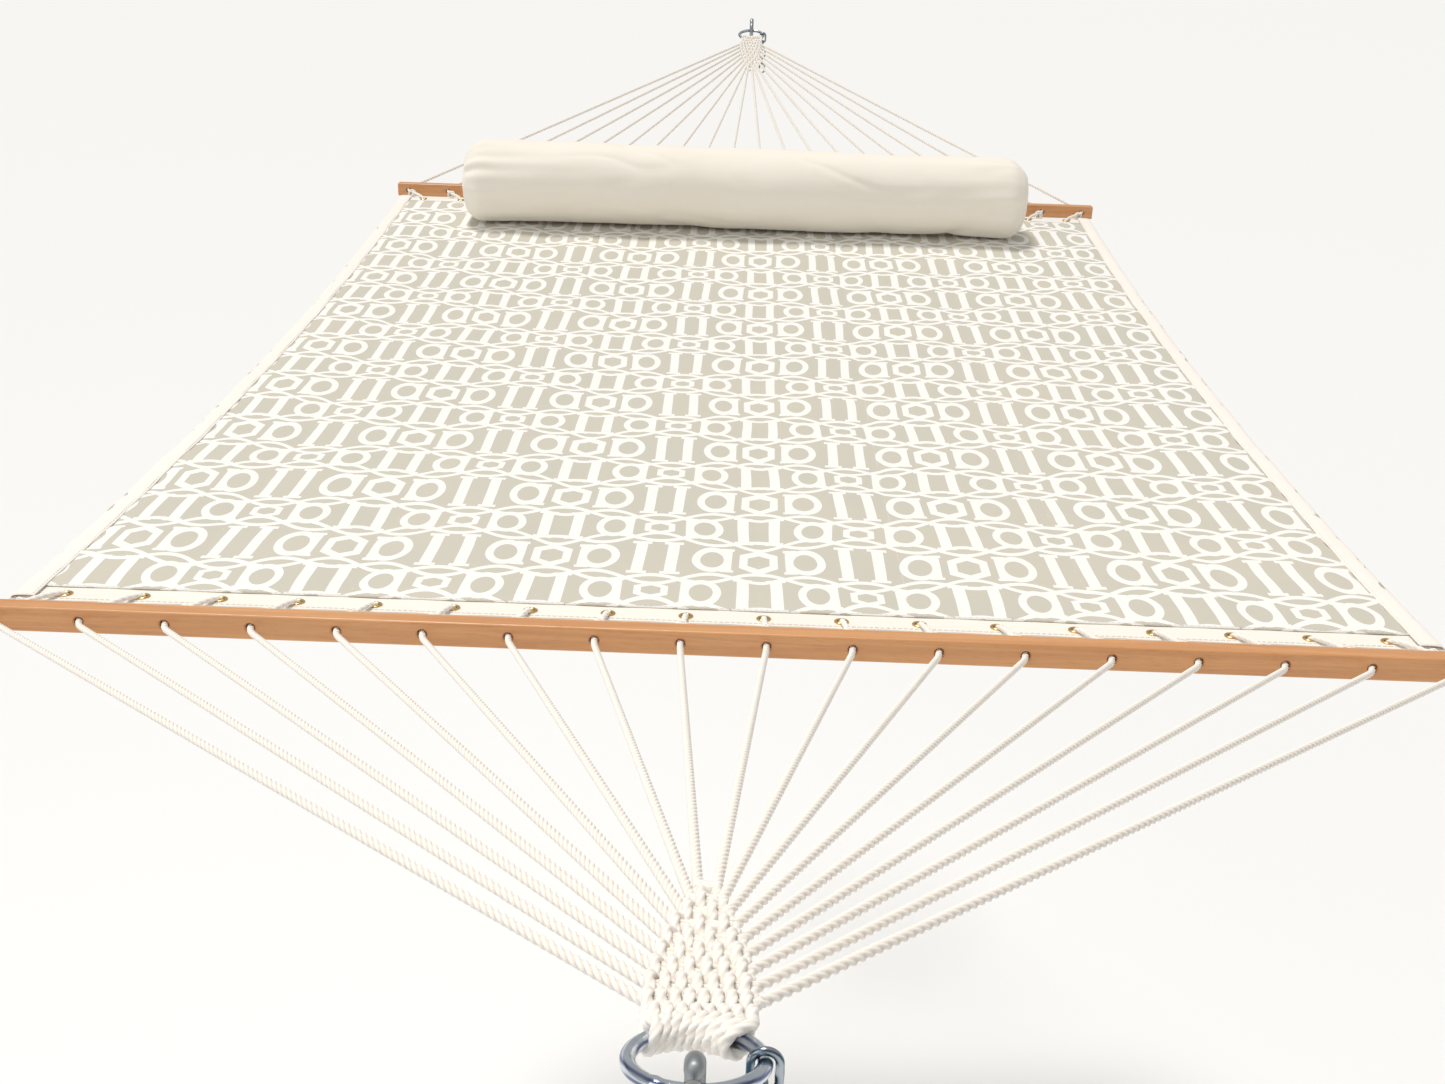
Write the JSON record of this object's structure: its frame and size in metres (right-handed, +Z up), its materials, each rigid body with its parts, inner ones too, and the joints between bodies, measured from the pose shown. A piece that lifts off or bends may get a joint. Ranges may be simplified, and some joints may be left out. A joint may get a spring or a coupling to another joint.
{
  "type": "rope hammock",
  "caption": "Quilted bed hammock between two wooden spreader bars, hung by fanned ropes woven into a clew on a ring at each end, with a bolster pillow.",
  "frame": {"origin": "centre of the eye bow of the foot hook, from which the foot end hangs", "axes": "+Y along the hammock from the foot hook to the head hook at the pillow end, +Z up, +X to the right seen from the foot"},
  "size_m": [1.42, 3.9114, 0.3067],
  "materials": {
    "hook_steel": "galvanised, satin",
    "ring_zinc": "bright zinc plate",
    "chain_zinc": "bright zinc plate",
    "bar_wood": "orange-tan hardwood, satin varnish",
    "grommet_brass": "polished",
    "cotton_rope": "twisted cotton, off-white",
    "lattice_print": "greige cloth with a white lattice print",
    "backing_cloth": "plain woven",
    "polyester_batting": "soft fibre",
    "edge_cloth": "plain woven, ecru",
    "pillow_cloth": "plain woven, cream",
    "pillow_fibre": "soft fibre"
  },
  "bodies": {
    "hangers": {"foot_hook": "hook_steel", "head_hook": "hook_steel"},
    "hammock": {"bed_batting": "polyester_batting", "bed_bottom_panel": "backing_cloth", "bed_top_panel": "lattice_print", "foot_clew": "cotton_rope", "foot_end_hem": "edge_cloth", "foot_grommet_washers": "grommet_brass", "foot_grommets": "grommet_brass", "foot_ring": "ring_zinc", "foot_rope_1": "cotton_rope", "foot_rope_2": "cotton_rope", "foot_rope_3": "cotton_rope", "foot_rope_4": "cotton_rope", "foot_rope_5": "cotton_rope", "foot_rope_6": "cotton_rope", "foot_rope_7": "cotton_rope", "foot_rope_8": "cotton_rope", "foot_rope_9": "cotton_rope", "foot_rope_eyes": "cotton_rope", "foot_rope_knots": "cotton_rope", "foot_spreader_bar": "bar_wood", "head_clew": "cotton_rope", "head_end_hem": "edge_cloth", "head_grommet_washers": "grommet_brass", "head_grommets": "grommet_brass", "head_ring": "ring_zinc", "head_rope_1": "cotton_rope", "head_rope_2": "cotton_rope", "head_rope_3": "cotton_rope", "head_rope_4": "cotton_rope", "head_rope_5": "cotton_rope", "head_rope_6": "cotton_rope", "head_rope_7": "cotton_rope", "head_rope_8": "cotton_rope", "head_rope_9": "cotton_rope", "head_rope_eyes": "cotton_rope", "head_rope_knots": "cotton_rope", "head_spreader_bar": "bar_wood", "left_binding": "edge_cloth", "right_binding": "edge_cloth"},
    "pillow": {"pillow_cover": "pillow_cloth", "pillow_filling": "pillow_fibre"},
    "foot_link_1": {"foot_chain_link_1": "chain_zinc"},
    "foot_link_2": {"foot_chain_link_2": "chain_zinc"},
    "foot_link_3": {"foot_chain_link_3": "chain_zinc"},
    "foot_link_4": {"foot_chain_link_4": "chain_zinc"},
    "foot_link_5": {"foot_chain_link_5": "chain_zinc"},
    "head_link_1": {"head_chain_link_1": "chain_zinc"},
    "head_link_2": {"head_chain_link_2": "chain_zinc"},
    "head_link_3": {"head_chain_link_3": "chain_zinc"},
    "head_link_4": {"head_chain_link_4": "chain_zinc"},
    "head_link_5": {"head_chain_link_5": "chain_zinc"}
  },
  "joints": [
    {"name": "swing", "type": "hinge", "parent": "hangers", "child": "hammock", "pos_m": [0, 0.03041, -0.00822], "axis": [0, 1, 0], "range_deg": [-30, 30]},
    {"name": "pillow_lift", "type": "slide", "parent": "hammock", "child": "pillow", "axis": [0, 0, 1], "range_m": [0, 0.25]},
    {"name": "foot_link_1_swing", "type": "hinge", "parent": "hammock", "child": "foot_link_1", "pos_m": [0.029, 0.0584, -0.01579], "axis": [0, 1, 0], "range_deg": [-20, 20]},
    {"name": "foot_link_2_swing", "type": "hinge", "parent": "foot_link_1", "child": "foot_link_2", "pos_m": [0.029, 0.0584, -0.03199], "axis": [1, 0, 0], "range_deg": [-20, 20]},
    {"name": "foot_link_3_swing", "type": "hinge", "parent": "foot_link_2", "child": "foot_link_3", "pos_m": [0.029, 0.0584, -0.05009], "axis": [0, 1, 0], "range_deg": [-20, 20]},
    {"name": "foot_link_4_swing", "type": "hinge", "parent": "foot_link_3", "child": "foot_link_4", "pos_m": [0.029, 0.0584, -0.06819], "axis": [1, 0, 0], "range_deg": [-20, 20]},
    {"name": "foot_link_5_swing", "type": "hinge", "parent": "foot_link_4", "child": "foot_link_5", "pos_m": [0.029, 0.0584, -0.08629], "axis": [0, 1, 0], "range_deg": [-20, 20]},
    {"name": "head_link_1_swing", "type": "hinge", "parent": "hammock", "child": "head_link_1", "pos_m": [0.029, 3.81699, -0.01579], "axis": [0, 1, 0], "range_deg": [-20, 20]},
    {"name": "head_link_2_swing", "type": "hinge", "parent": "head_link_1", "child": "head_link_2", "pos_m": [0.029, 3.81699, -0.03199], "axis": [1, 0, 0], "range_deg": [-20, 20]},
    {"name": "head_link_3_swing", "type": "hinge", "parent": "head_link_2", "child": "head_link_3", "pos_m": [0.029, 3.81699, -0.05009], "axis": [0, 1, 0], "range_deg": [-20, 20]},
    {"name": "head_link_4_swing", "type": "hinge", "parent": "head_link_3", "child": "head_link_4", "pos_m": [0.029, 3.81699, -0.06819], "axis": [1, 0, 0], "range_deg": [-20, 20]},
    {"name": "head_link_5_swing", "type": "hinge", "parent": "head_link_4", "child": "head_link_5", "pos_m": [0.029, 3.81699, -0.08629], "axis": [0, 1, 0], "range_deg": [-20, 20]}
  ]
}
